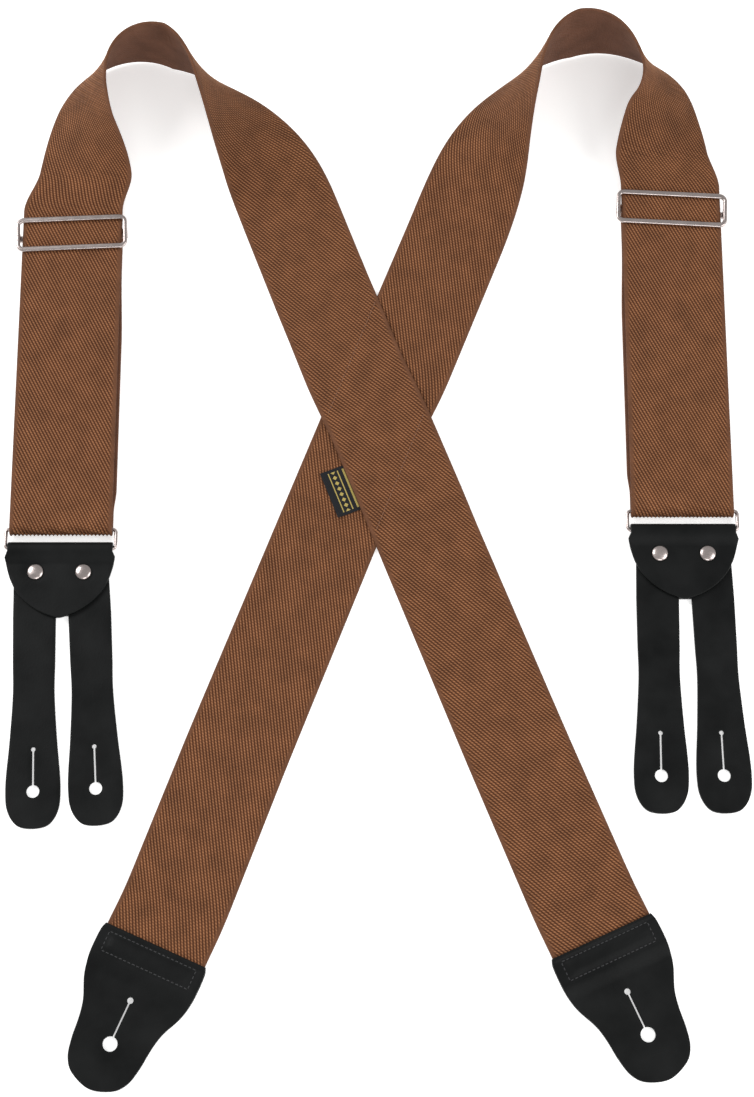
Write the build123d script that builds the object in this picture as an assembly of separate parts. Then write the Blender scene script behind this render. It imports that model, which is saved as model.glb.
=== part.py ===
"""Button-on suspenders, laid out flat with the shoulder arches standing on their edges."""

from build123d import *
import math
import os

os.makedirs("parts", exist_ok=True)

# ---- driving dimensions, millimetres and degrees ----

# elastic webbing
STRAP_W = 50.4
STRAP_T = 1.6

# adjuster: a frame with its centre bar set low, so that the strap runs straight under the frame
BAR_T = 1.4
BAR_W = 3.4
ADJUSTER_L = 56.4
ADJUSTER_H = 18.6
ADJUSTER_T = 1.7
ADJUSTER_SIDE = 2.1
ADJUSTER_RAIL = 2.7
ADJUSTER_R = 4.2
WINDOW_R = 1.4
EDGE_R = 0.5
EAR_INSET = 0.2
GAP = 0.1
CLEAR = 0.3

# heights of the layers in a front strap, bottom faces
REAR_Z = 0.0
BAR_Z = REAR_Z + STRAP_T + GAP
TAIL_Z = BAR_Z + BAR_T + GAP
FRONT_Z = TAIL_Z + STRAP_T + CLEAR
FRAME_Z = FRONT_Z + STRAP_T + CLEAR
HEM_TAIL = 16.0
HEM_SLACK = 1.7
HEM_STEP = 3.5
HEM_ROWS = (2.0, 5.0)
HEM_ROW_INSET = 2.0

# ring that joins the strap's fold to the leather
WIRE_R = 0.9
RING_HALF = 27.0
RING_CORNER = 1.8
LOOP_R = (FRONT_Z + STRAP_T) / 2
LOOP_LEG = 9.0
FOLD_GAP = 3.2

# drop leather: flap, fold, panel and two button tabs
LEATHER_T = 2.0
FOLD_R = WIRE_R + CLEAR + LEATHER_T
FLAP_TOP_HALF = 25.7
FLAP_H = 38.1
FLAP_HALVES = [(27.0, 7.6), (26.6, 9.5), (25.8, 13.1), (24.5, 17.5), (23.3, 20.3), (21.3, 24.2), (18.1, 28.2),
               (14.3, 31.7), (9.8, 34.6), (5.9, 36.4)]
FLAP_NECK = 1.6
FLAP_BEND = (1.2, 6.5)
PANEL_H = 36.0
PANEL_INSET = 0.4
TAB_SPREAD = 1.0
TAB_SPACING = 25.6
TAB_H = 141.3
TAB_HALVES = [(10.4, 34.0), (10.2, 60.0), (10.0, 76.0), (11.3, 98.0), (12.8, 115.0), (13.1, 124.0),
              (12.5, 131.0), (10.2, 136.6), (6.4, 140.2)]
TAB_HOLE_R = 3.1
TAB_HOLE_Y = 123.3
TAB_RELIEF_R = 1.1
TAB_RELIEF_Y = 102.8
SLIT_W = 0.9
RIVET_SPACING = 23.4
RIVET_DROP = 15.2
RIVET_CAP_R = 3.9
RIVET_CAP_T = 1.5
RIVET_POST_R = 1.4
RIVET_BASE_R = 3.4
RIVET_BASE_T = 0.6

# back ends: leather face and backing sewn round the webbing's end
BACK_T = 1.2
BACK_H = 71.5
BACK_TOP = 29.0
BACK_EDGE = 0.4
BACK_STEP = (0.5, 5.0)
BACK_HALVES = [(26.7, 25.0), (26.8, 15.0), (26.0, 8.0), (24.3, 2.0), (20.3, -7.0), (18.5, -15.0),
               (17.4, -25.0), (15.2, -33.5), (10.2, -39.2)]
BACK_HOLE_R = 3.5
BACK_HOLE_Y = -20.3
BACK_RELIEF_R = 1.5
BACK_RELIEF_Y = 1.2
WEB_INSERT = 15.0
STITCH_ROWS = (26.0, 16.5)
STITCH_HALF = 22.3
THREAD_W = 0.5
THREAD_T = 0.25

# woven label tucked under the edge of the upper strap
LABEL_W = 16.0
LABEL_L = 24.5
LABEL_T = 0.4
LABEL_TUCK = 4.0
LABEL_PLACE = 30.5
CROSS_ROW_INSET = 3.0

# travel of the ring when the adjuster is drawn down by twice as much
FEED = 32.0

# the two sides: everything is built as a left side, and the right side is mirrored
# strap_x: middle of the front strap; adjuster: middle of the frame; fold_y: lower end of the strap's fold;
# tab_scale: length of this side's tabs against the pattern; arch_y, arch_len: where the shoulder arch
# begins and how long it runs; turns (start, length, angle): its bends; inward (shift, length): how far it
# leaves the strap's line as it curls up; roll_in, roll_out: how it stands on its edge;
# back_line: points of the back run, the second in the cross; back, back_turn: middle and turn of the back end
LEFT = {
    "name": "left", "strap": "over_strap", "strap_x": -155.0, "adjuster": (-155.2, 164.6),
    "adjuster_turn": 2.6, "fold_y": 5.4, "lean": 2.9, "tab_scale": 0.992, "arch_y": 177.5, "arch_len": 239.0,
    "turns": [(0.0, 133.0, 42.3), (58.1, 90.0, 100.8), (177.8, 50.0, 15.9)], "inward": (5.9, 49.8),
    "roll_in": 134.0, "roll_out": (11.8, 123.6),
    "back_line": [(-10.6, 90.1), (-0.6, 68.6), (67.3, -100.4)], "back": (116.7, -215.5), "back_turn": 24.5,
}
RIGHT = {
    "name": "right", "strap": "under_strap", "strap_x": -150.1, "adjuster": (-150.3, 178.2),
    "adjuster_turn": 3.2, "fold_y": 14.8, "lean": -0.2, "tab_scale": 1.011, "arch_y": 190.5,
    "arch_len": 238.6, "turns": [(38.0, 30.0, 39.3), (57.3, 96.0, 111.3), (156.2, 50.0, 8.4)],
    "inward": (4.3, 120.0),
    "roll_in": 121.3, "roll_out": (0.0, 135.7),
    "back_line": [(-10.1, 90.1), (0.6, 68.6), (66.8, -100.4)], "back": (114.85, -219.65), "back_turn": 24.0,
}
ARCH_SECTIONS = 23
ARCH_SUBSTEPS = 12
SETTLE = 50.0
CURL = 0.7
INWARD_RISE = 20.0
EDGE_LIFT = 0.3
CROSS_HALF = 66.0
CROSS_RAMP = 14.0
BACK_RAMP = 16.0
BACK_STRAIGHT = 20.0

# how far construction shapes reach past what they cut or are cut by
SPARE = 5.0


def ease(x):
    """Smooth step from 0 to 1."""
    x = min(max(x, 0.0), 1.0)
    return x * x * (3 - 2 * x)


def block(x0, x1, y0, y1, z0, z1):
    """Box from its lowest to its highest corner."""
    return Pos((x0 + x1) / 2, (y0 + y1) / 2, (z0 + z1) / 2) * Box(x1 - x0, y1 - y0, z1 - z0)


def across(point, heading, rise=0.0, roll=0.0):
    """Section of the webbing, square to its run; roll lifts the edge on the inside of the arch."""
    h, e, r = (math.radians(a) for a in (heading, rise, roll))
    along = Vector(math.cos(h) * math.cos(e), math.sin(h) * math.cos(e), math.sin(e))
    side = Vector(math.sin(h), -math.cos(h), 0)
    width = side * math.cos(r) + side.cross(along) * math.sin(r)
    return Plane(origin=point, x_dir=width, z_dir=along) * Rectangle(STRAP_W, STRAP_T)


# ---- webbing ----

def arch_sections(side):
    """Sections over the shoulder: the strap rolls up on its outer edge, turns, and lies down again."""
    steps = ARCH_SUBSTEPS * (ARCH_SECTIONS - 1)
    ds = side["arch_len"] / steps

    def state(s):
        heading = 90 - sum(angle * ease((s - begin) / length) for begin, length, angle in side["turns"])
        c, d = side["roll_out"]
        up = ease(max(s / side["roll_in"], 0.0) ** CURL)
        roll = 90 * min(up, ease((side["arch_len"] - c - s) / d))
        base = STRAP_T / 2 + FRONT_Z * (1 - ease(s / SETTLE))
        return heading, roll, base + (STRAP_W / 2 + EDGE_LIFT) * math.sin(math.radians(roll))

    x, y = side["strap_x"], side["arch_y"]
    sections = []
    for k in range(steps + 1):
        heading, roll, z = state(k * ds)
        slope = (state((k + 0.5) * ds)[2] - state((k - 0.5) * ds)[2]) / ds
        rise = 0.0 if k in (0, steps) else math.degrees(math.asin(slope))
        if k % ARCH_SUBSTEPS == 0:
            shift_in, fall = side["inward"]
            x_in = shift_in * ease(k * ds / INWARD_RISE) * (1 - ease((k * ds - INWARD_RISE) / fall))
            sections.append(across((x + x_in, y, z), heading, rise, roll))
        if k < steps:
            h, run = math.radians(heading), ds * math.cos(math.radians(rise))
            x, y = x + run * math.cos(h), y + run * math.sin(h)
    return sections, (x, y), heading


def back_run(side, start, heading_in, lift):
    """Straight run from the arch, over or under the cross, to the end inside the back leather."""
    end = side["back"]
    turn = math.radians(side["back_turn"])
    down = (math.sin(turn), -math.cos(turn))
    in_line, inside = ((end[0] - down[0] * d, end[1] - down[1] * d)
                       for d in (BACK_TOP + BACK_STRAIGHT, BACK_TOP - WEB_INSERT))
    points = [start] + side["back_line"] + [in_line, inside]
    reach = [0.0]
    for a, b in zip(points, points[1:]):
        reach.append(reach[-1] + math.dist(a, b))
    cross, raised = reach[2], reach[-1] - WEB_INSERT
    levels = [(0.0, 0.0), (cross - CROSS_HALF - CROSS_RAMP, 0.0), (cross - CROSS_HALF, lift),
              (cross + CROSS_HALF, lift), (cross + CROSS_HALF + CROSS_RAMP, 0.0),
              (raised - BACK_RAMP, 0.0), (raised, BACK_T), (reach[-1], BACK_T)]
    headings = [math.degrees(math.atan2(b[1] - a[1], b[0] - a[0])) for a, b in zip(points, points[1:])]

    def level_at(s):
        for (s0, z0), (s1, z1) in zip(levels, levels[1:]):
            if s <= s1:
                return z0 + (z1 - z0) * (s - s0) / (s1 - s0)
        return BACK_T

    sections = []
    for s in sorted(set(reach) | {s for s, _ in levels}):
        i = max(k for k in range(len(headings)) if reach[k] <= s or k == 0)
        share = (s - reach[i]) / (reach[i + 1] - reach[i])
        (ax, ay), (bx, by) = points[i], points[i + 1]
        heading = headings[i]
        if s == 0.0:
            heading = heading_in
        elif s in reach[1:-1]:
            heading = (headings[i - 1] + headings[i]) / 2
        spot = (ax + (bx - ax) * share, ay + (by - ay) * share, level_at(s) + STRAP_T / 2)
        sections.append(across(spot, heading))
    return sections


def make_strap(side, lift):
    """One length of webbing, from the fold at the ring, over the shoulder, to the back end."""
    front = block(side["strap_x"] - STRAP_W / 2, side["strap_x"] + STRAP_W / 2,
                  side["fold_y"] + LOOP_R + LOOP_LEG, side["arch_y"], FRONT_Z, FRONT_Z + STRAP_T)
    sections, end, heading = arch_sections(side)
    arch = loft(sections)
    back = loft(back_run(side, end, heading, lift), ruled=True)
    return front + arch + back


def make_loop(side):
    """The strap's fold round the ring."""
    y = side["fold_y"] + LOOP_R
    outer = Pos(y, LOOP_R) * Circle(LOOP_R) + Pos(y + LOOP_LEG / 2, LOOP_R) * Rectangle(LOOP_LEG, 2 * LOOP_R)
    inner_r = LOOP_R - STRAP_T
    inner = Pos(y, LOOP_R) * Circle(inner_r)
    inner += Pos(y + LOOP_LEG, LOOP_R) * Rectangle(2 * LOOP_LEG, 2 * inner_r)
    return extrude(across_x(side, STRAP_W) * (outer - inner), STRAP_W)


def across_x(side, width):
    """Plane whose x and y are the row's Y and Z, starting at one edge of a piece of that width."""
    return Plane(origin=(side["strap_x"] - width / 2, 0, 0), x_dir=(0, 1, 0), z_dir=(1, 0, 0))


def make_rear_layer(side):
    """Back layer of the doubled front strap, from the fold up to the hem."""
    y0 = side["fold_y"] + LOOP_R + LOOP_LEG
    y1 = side["adjuster"][1] - HEM_TAIL - STRAP_T
    x = side["strap_x"]
    return block(x - STRAP_W / 2, x + STRAP_W / 2, y0, y1, REAR_Z, REAR_Z + STRAP_T)


def make_hem(side):
    """End of the webbing, turned over the centre bar and sewn down on itself."""
    bar_y = side["adjuster"][1]
    y0, y1 = bar_y - HEM_TAIL - STRAP_T, bar_y + BAR_W / 2 + HEM_SLACK
    lower = Pos((y0 + y1) / 2, REAR_Z + STRAP_T / 2) * Rectangle(y1 - y0, STRAP_T)
    over, near = TAIL_Z + STRAP_T, bar_y - BAR_W / 2 - HEM_SLACK
    turn = Pos(y1 + STRAP_T / 2, over / 2) * Rectangle(STRAP_T, over)
    upper = Polyline(
        (y1, TAIL_Z), (near, TAIL_Z), (near - HEM_STEP, STRAP_T), (bar_y - HEM_TAIL, STRAP_T),
        (bar_y - HEM_TAIL, 2 * STRAP_T), (near - HEM_STEP, 2 * STRAP_T), (near, over), (y1, over),
        close=True)
    profile = lower + turn + make_face(upper)
    return extrude(across_x(side, STRAP_W) * profile, STRAP_W)


def make_hem_stitching(side):
    """Two rows of thread across the hem."""
    bar_y, x = side["adjuster"][1], side["strap_x"]
    rows = []
    half = STRAP_W / 2 - HEM_ROW_INSET
    for step in HEM_ROWS:
        y = bar_y - HEM_TAIL + step
        rows.append(block(x - half, x + half, y, y + THREAD_W, 2 * STRAP_T, 2 * STRAP_T + THREAD_T))
    return Compound(children=rows)


# ---- metal ----

def make_adjuster(side):
    """Plated frame, with two ears that carry the low centre bar."""
    outer = RectangleRounded(ADJUSTER_L, ADJUSTER_H, ADJUSTER_R)
    window = RectangleRounded(ADJUSTER_L - 2 * ADJUSTER_SIDE, ADJUSTER_H - 2 * ADJUSTER_RAIL, WINDOW_R)
    frame = Pos(0, 0, FRAME_Z) * extrude(outer - window, ADJUSTER_T)
    frame = fillet(frame.edges().group_by(Axis.Z)[-1], EDGE_R)
    bar_half, ear_half = (ADJUSTER_L - ADJUSTER_SIDE) / 2, ADJUSTER_SIDE / 2 - EAR_INSET
    for x in (-bar_half, bar_half):
        frame += block(x - ear_half, x + ear_half, -BAR_W / 2, BAR_W / 2, BAR_Z, FRAME_Z)
    bar = block(-bar_half, bar_half, -BAR_W / 2, BAR_W / 2, BAR_Z, BAR_Z + BAR_T)
    return Pos(*side["adjuster"], 0) * Rot(0, 0, side["adjuster_turn"]) * (frame + bar)


def ring_bars(side):
    """Y of the upper bar, in the strap's fold, and of the lower bar, in the leather's fold."""
    return side["fold_y"] + LOOP_R, side["fold_y"] - FOLD_GAP - FOLD_R


def make_ring(side):
    """Closed wire rectangle."""
    top, low = ring_bars(side)
    loop = Plane(origin=(side["strap_x"], (top + low) / 2, LOOP_R)) * RectangleRounded(
        2 * RING_HALF, top - low, RING_CORNER)
    path = loop.faces()[0].outer_wire()
    start = path.edges().sort_by(Axis.X)[0]
    section = Plane(origin=start @ 0.5, z_dir=start % 0.5) * Circle(WIRE_R)
    return sweep(section, path=path)


# ---- drop leather ----

def tab_outline(halves, tip):
    """Face of a tab that hangs along -Y: a rounded end, drawn from half widths at distances down."""
    right = [(w, -y) for w, y in halves]
    left = [(-w, -y) for w, y in reversed(halves)]
    curve = Spline(right + [(0, -tip)] + left)
    return make_face(curve + Line(left[-1], right[0]))


def keyhole(hole_r, hole_y, relief_r, relief_y):
    """Button hole: a round hole, a slit, and a small round hole that stops the slit from tearing."""
    low, high = sorted((hole_y, relief_y))
    slit = Pos(0, (low + high) / 2) * Rectangle(SLIT_W, high - low)
    return Pos(0, hole_y) * Circle(hole_r) + slit + Pos(0, relief_y) * Circle(relief_r)


def tab_places():
    """Where the two tabs sit: x at the leather's fold, and the turn that spreads them."""
    return [(sign * TAB_SPACING / 2, sign * TAB_SPREAD) for sign in (-1, 1)]


def rivet_places(side):
    """Centres of the two rivets."""
    top = side["fold_y"] - FOLD_GAP
    return [(side["strap_x"] + sign * RIVET_SPACING / 2, top - RIVET_DROP) for sign in (-1, 1)]


def make_drop_leather(side):
    """One strap of leather: flap in front, fold round the ring, panel behind, and two tabs."""
    x, top = side["strap_x"], side["fold_y"] - FOLD_GAP
    bar_y = ring_bars(side)[1]
    tabs = Sketch()
    for tab_x, turn in tab_places():
        scale = side["tab_scale"]
        outline = tab_outline([(w, y * scale) for w, y in TAB_HALVES], TAB_H * scale)
        outline -= keyhole(TAB_HOLE_R, -TAB_HOLE_Y * scale, TAB_RELIEF_R, -TAB_RELIEF_Y * scale)
        tabs += Pos(x, top) * Rot(0, 0, side["lean"]) * Pos(tab_x, 0) * Rot(0, 0, turn) * outline
    root_half = TAB_SPACING / 2 + TAB_HALVES[0][0] - PANEL_INSET
    panel_y = top - PANEL_H
    panel = Pos(x, (bar_y + panel_y) / 2) * Rectangle(2 * root_half, bar_y - panel_y)
    flat = extrude(tabs + panel, LEATHER_T)

    ring_plane = across_x(side, 2 * FLAP_TOP_HALF)
    inner_r = FOLD_R - LEATHER_T
    bend = Pos(bar_y, FOLD_R) * (Circle(FOLD_R) - Circle(inner_r))
    bend -= Pos(bar_y - FOLD_R, FOLD_R) * Rectangle(2 * FOLD_R, 4 * FOLD_R)
    fold = extrude(ring_plane * bend, 2 * FLAP_TOP_HALF)

    high, flat_z = 2 * FOLD_R, 2 * LEATHER_T
    bend_top, bend_end = (bar_y - d for d in FLAP_BEND)
    flap_end = top - FLAP_H - SPARE
    side_view = Polyline(
        (bar_y, high), (bend_top, high), (bend_end, flat_z), (flap_end, flat_z), (flap_end, LEATHER_T),
        (bend_end, LEATHER_T), (bend_top, high - LEATHER_T), (bar_y, high - LEATHER_T), close=True)
    flap_half, flap_square = FLAP_HALVES[0]
    wide = 2 * (flap_half + SPARE)
    slab = extrude(across_x(side, wide) * make_face(side_view), wide)
    square, neck = top - flap_square, bar_y - FLAP_NECK
    rounded = Pos(x, top) * tab_outline(FLAP_HALVES, FLAP_H)
    upper = make_face(Polyline(
        (x - flap_half, square), (x - FLAP_TOP_HALF, neck), (x - FLAP_TOP_HALF, top + SPARE),
        (x + FLAP_TOP_HALF, top + SPARE), (x + FLAP_TOP_HALF, neck), (x + flap_half, square), close=True))
    flap = slab & extrude(rounded + upper, 3 * high)

    leather = flat + fold + flap
    for rx, ry in rivet_places(side):
        leather -= Pos(rx, ry, 0) * Cylinder(RIVET_POST_R, 4 * high)
        leather -= Pos(rx, ry, RIVET_BASE_T / 2) * Cylinder(RIVET_BASE_R, RIVET_BASE_T)
    return leather


def make_rivet_caps(side):
    """Domed caps on the flap."""
    dome_r = (RIVET_CAP_R ** 2 + RIVET_CAP_T ** 2) / (2 * RIVET_CAP_T)
    caps = []
    for rx, ry in rivet_places(side):
        ball = Pos(rx, ry, 2 * LEATHER_T + RIVET_CAP_T - dome_r) * Sphere(dome_r)
        caps.append(ball & (Pos(rx, ry, 2 * LEATHER_T + RIVET_CAP_T) * Cylinder(dome_r, 2 * RIVET_CAP_T)))
    return Compound(children=[cap.solids()[0] for cap in caps])


def make_rivet_posts(side):
    """Posts through both thicknesses, with flat heads let into the back."""
    posts = []
    for rx, ry in rivet_places(side):
        head = Pos(rx, ry, RIVET_BASE_T / 2) * Cylinder(RIVET_BASE_R, RIVET_BASE_T)
        shank = Pos(rx, ry, LEATHER_T) * Cylinder(RIVET_POST_R, 2 * LEATHER_T)
        posts.append((head + shank).solids()[0])
    return Compound(children=posts)


# ---- back ends ----

def back_outline():
    """Flat outline of a back end, tip down, with its keyhole."""
    halves = [(STRAP_W / 2 + BACK_EDGE, -BACK_TOP)] + [(w, -y) for w, y in BACK_HALVES]
    shape = tab_outline(halves, BACK_H - BACK_TOP)
    return shape - keyhole(BACK_HOLE_R, BACK_HOLE_Y, BACK_RELIEF_R, BACK_RELIEF_Y)


def back_place(side):
    """Place of a back end: its tip points along the strap's last run."""
    return Pos(*side["back"], 0) * Rot(0, 0, side["back_turn"])


def make_back_backing(side):
    return back_place(side) * extrude(back_outline(), BACK_T)


def make_back_face(side):
    """Face leather: high over the webbing's end, then down on to the backing."""
    high, top = BACK_T + STRAP_T, BACK_TOP + SPARE
    step_top, step_end = (BACK_TOP - WEB_INSERT - d for d in BACK_STEP)
    view = Polyline(
        (top, high), (step_top, high), (step_end, BACK_T), (-BACK_H, BACK_T), (-BACK_H, 2 * BACK_T),
        (step_end, 2 * BACK_T), (step_top, high + BACK_T), (top, high + BACK_T), close=True)
    wide = STRAP_W + 2 * SPARE
    slab = extrude(Plane(origin=(-wide / 2, 0, 0), x_dir=(0, 1, 0), z_dir=(1, 0, 0)) * make_face(view), wide)
    return back_place(side) * (slab & extrude(back_outline(), 3 * high))


def make_back_stitching(side):
    """Box of thread round the webbing's end."""
    upper, lower = STITCH_ROWS
    z = 2 * BACK_T + STRAP_T
    frame = Pos(0, (upper + lower) / 2) * (
        Rectangle(2 * STITCH_HALF, upper - lower)
        - Rectangle(2 * STITCH_HALF - 2 * THREAD_W, upper - lower - 2 * THREAD_W))
    return back_place(side) * (Pos(0, 0, z) * extrude(frame, THREAD_T))


# ---- the cross ----

def line_of(side, mirrored):
    """Point and direction of a strap where the straps cross."""
    (ax, ay), (bx, by) = side["back_line"][1:]
    flip = -1 if mirrored else 1
    return Vector(flip * ax, ay), Vector(flip * (bx - ax), by - ay).normalized()


def make_cross_stitching(z):
    """Lines of thread through both straps, just inside the edges of the lower one."""
    centre, upper_dir = line_of(LEFT, False)
    _, lower_dir = line_of(RIGHT, True)
    sine = abs(upper_dir.cross(lower_dir).Z)
    turn = math.degrees(math.atan2(lower_dir.Y, lower_dir.X))
    half = (STRAP_W / 2 - CROSS_ROW_INSET) / sine
    rows = []
    for sign in (-1, 1):
        middle = centre + upper_dir * (sign * half)
        row = Box(2 * half, THREAD_W, THREAD_T)
        rows.append(Pos(middle.X, middle.Y, z + THREAD_T / 2) * Rot(0, 0, turn) * row)
    return Compound(children=[row.solids()[0] for row in rows])


def make_label(z):
    """Small woven label, one long edge under the upper strap."""
    centre, upper_dir = line_of(LEFT, False)
    turn = math.degrees(math.atan2(upper_dir.Y, upper_dir.X)) + 90
    reach = STRAP_W / 2 + LABEL_W / 2 - LABEL_TUCK
    outward = Vector(upper_dir.Y, -upper_dir.X)
    spot = centre + outward * reach + upper_dir * LABEL_PLACE
    return Pos(spot.X, spot.Y, z + LABEL_T / 2) * Rot(0, 0, turn) * Box(LABEL_W, LABEL_L, LABEL_T)


# ---- assembly ----

CROSS_LIFT = STRAP_T + LABEL_T
nodes = {}
for side in (LEFT, RIGHT):
    name = side["name"]
    other = "right" if name == "left" else "left"
    made = {
        side["strap"]: make_strap(side, CROSS_LIFT if name == "left" else 0.0),
        name + "_ring_loop": make_loop(side),
        name + "_rear_layer": make_rear_layer(side),
        name + "_hem": make_hem(side),
        name + "_hem_stitching": make_hem_stitching(side),
        name + "_adjuster": make_adjuster(side),
        name + "_ring": make_ring(side),
        name + "_drop_leather": make_drop_leather(side),
        name + "_rivet_caps": make_rivet_caps(side),
        name + "_rivet_posts": make_rivet_posts(side),
        other + "_back_face": make_back_face(side),
        other + "_back_backing": make_back_backing(side),
        other + "_back_stitching": make_back_stitching(side),
    }
    for node, shape in made.items():
        nodes[node] = shape if name == "left" else mirror(shape, about=Plane.YZ)
nodes["cross_stitching"] = make_cross_stitching(CROSS_LIFT + STRAP_T)
nodes["woven_label"] = make_label(STRAP_T)

box = Compound(children=[solid for shape in nodes.values() for solid in shape.solids()]).bounding_box()
shift = (-(box.min.X + box.max.X) / 2, -(box.min.Y + box.max.Y) / 2, -box.min.Z)

for node, shape in nodes.items():
    moved = [Pos(*shift) * solid for solid in shape.solids()]
    placed = moved[0] if len(moved) == 1 else Compound(children=moved)
    export_step(placed, f"parts/{node}.step")

print("size", box.size, "shift", [round(v, 3) for v in shift])
for side in (LEFT, RIGHT):
    flip = 1 if side is LEFT else -1
    top, low = ring_bars(side)
    print(side["name"], "strap x", round(flip * side["strap_x"] + shift[0], 3),
          "ring bars", round(top + shift[1], 3), round(low + shift[1], 3),
          "heights", round(LOOP_R, 3), round(FOLD_R, 3), "feed", FEED)
    fold_top = side["fold_y"] - FOLD_GAP
    for tab_x, turn in tab_places():
        at = (Rot(0, 0, side["lean"]) * Pos(tab_x, 0, 0) * Rot(0, 0, turn)
              * Pos(0, -TAB_HOLE_Y * side["tab_scale"], 0)).position
        print("  tab hole", round(flip * (side["strap_x"] + at.X) + shift[0], 3),
              round(fold_top + at.Y + shift[1], 3))
    at = (back_place(side) * Pos(0, BACK_HOLE_Y, 0)).position
    print("  back hole", round(flip * at.X + shift[0], 3), round(at.Y + shift[1], 3))
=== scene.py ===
"""Looks for a pair of button-on suspenders: ribbed elastic webbing, black leather ends, nickel fittings."""

import math

import bmesh
import bpy
import numpy as np
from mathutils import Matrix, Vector


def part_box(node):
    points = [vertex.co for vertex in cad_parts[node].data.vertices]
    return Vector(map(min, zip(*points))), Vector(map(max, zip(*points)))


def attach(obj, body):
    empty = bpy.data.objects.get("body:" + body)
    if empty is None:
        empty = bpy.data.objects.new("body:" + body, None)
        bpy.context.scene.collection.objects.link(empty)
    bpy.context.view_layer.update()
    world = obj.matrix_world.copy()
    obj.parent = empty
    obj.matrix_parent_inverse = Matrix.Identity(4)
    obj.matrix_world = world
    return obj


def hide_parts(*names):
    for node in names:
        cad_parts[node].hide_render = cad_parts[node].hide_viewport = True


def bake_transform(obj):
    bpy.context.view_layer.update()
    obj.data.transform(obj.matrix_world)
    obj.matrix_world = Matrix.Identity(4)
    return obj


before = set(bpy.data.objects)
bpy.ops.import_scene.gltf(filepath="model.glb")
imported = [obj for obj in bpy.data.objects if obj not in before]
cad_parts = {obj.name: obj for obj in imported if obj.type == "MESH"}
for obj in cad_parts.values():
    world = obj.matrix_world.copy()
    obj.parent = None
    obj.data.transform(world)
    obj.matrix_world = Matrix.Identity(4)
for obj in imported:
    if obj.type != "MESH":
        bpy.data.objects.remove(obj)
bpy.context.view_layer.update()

# ---- sizes, in millimetres, in the layout's own frame ----

STRAP_W = 50.4
STRAP_T = 1.6
FRONT_Z = 5.1
FRAME_Z = 7.0
ADJUSTER_T = 1.7
ADJUSTER_L = 56.4
ADJUSTER_H = 18.6
ADJUSTER_SIDE = 2.1
ADJUSTER_RAIL = 2.7
ADJUSTER_CORNER = 4.2
WINDOW_CORNER = 1.4
BAR_W = 3.4
BAR_Z = 1.7
BAR_T = 1.4
HEM_TAIL = 16.0
HEM_ROWS = (2.25, 5.25)
HEM_ROW_HALF = 23.2
HEM_SLACK = 1.7
TAIL_Z = 3.2
LOOP_R = 3.35
LOOP_LEG = 9.0
FOLD_GAP = 3.2
FOLD_R = 3.2
LEATHER_T = 2.0
FLAP_TOP_HALF = 25.7
FLAP_H = 38.1
FLAP_HALVES = [(27.0, 7.6), (26.6, 9.5), (25.8, 13.1), (24.5, 17.5), (23.3, 20.3), (21.3, 24.2), (18.1, 28.2),
               (14.3, 31.7), (9.8, 34.6), (5.9, 36.4)]
FLAP_NECK = 1.6
PANEL_HALF = 22.8
TAB_SPREAD = 1.0
TAB_SPACING = 25.6
TAB_H = 141.3
TAB_HALVES = [(10.4, 37.0), (10.2, 60.0), (10.0, 76.0), (11.3, 98.0), (12.8, 115.0), (13.1, 124.0),
              (12.5, 131.0), (10.2, 136.6), (6.4, 140.2)]
TAB_HOLE = (3.1, 123.3, 1.1, 102.8)
SLIT_W = 0.9
RIVET_SPACING = 23.4
RIVET_DROP = 15.2
BACK_T = 1.2
BACK_H = 71.5
BACK_TOP = 29.0
BACK_HALVES = [(25.6, -29.0), (26.7, -25.0), (26.8, -15.0), (26.0, -8.0), (24.3, -2.0), (20.3, 7.0),
               (18.5, 15.0), (17.4, 25.0), (15.2, 33.5), (10.2, 39.2)]
BACK_HOLE = (3.5, 20.3, 1.5, -1.2)
STITCH_ROWS = (26.0, 16.5)
STITCH_HALF = 22.3
CROSS_LIFT = 2.0
LABEL_W = 16.0
LABEL_L = 24.5
LABEL_T = 0.4
LABEL_TUCK = 4.0
LABEL_PLACE = 30.5
CROSS_ROW_INSET = 3.0
THREAD_R = 0.24

# diagonal ribs of the webbing: their distance along the strap and how far they lean across it
RIB_RUN = 3.11
RIB_LEAN = 1.88
RIB_HEIGHT = 0.24
RIB_STEPS = 4

# in the shoulder arches: how early the webbing rolls up on edge, and the lengths over which
# it comes down to the surface and moves inward
CURL = 0.7
DESCENT = 50.0
INWARD_RISE = 20.0

LEFT = {
    "name": "left", "strap": "over_strap", "strap_x": -155.0, "adjuster": (-155.2, 164.6),
    "adjuster_turn": 2.6, "fold_y": 5.4, "lean": 2.9, "tab_scale": 0.992, "arch_y": 177.5, "arch_len": 239.0,
    "turns": [(0.0, 133.0, 42.3), (58.1, 90.0, 100.8), (177.8, 50.0, 15.9)], "inward": (5.9, 49.8),
    "roll_in": 134.0, "roll_out": (11.8, 123.6),
    "back_line": [(-10.6, 90.1), (-0.6, 68.6), (67.3, -100.4)], "back": (116.7, -215.5), "back_turn": 24.5,
}
RIGHT = {
    "name": "right", "strap": "under_strap", "strap_x": -150.1, "adjuster": (-150.3, 178.2),
    "adjuster_turn": 3.2, "fold_y": 14.8, "lean": -0.2, "tab_scale": 1.011, "arch_y": 190.5, "arch_len": 238.6,
    "turns": [(38.0, 30.0, 39.3), (57.3, 96.0, 111.3), (156.2, 50.0, 8.4)], "inward": (4.3, 120.0),
    "roll_in": 121.3, "roll_out": (0.0, 135.7),
    "back_line": [(-10.1, 90.1), (0.6, 68.6), (66.8, -100.4)], "back": (114.85, -219.65), "back_turn": 24.0,
}

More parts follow.
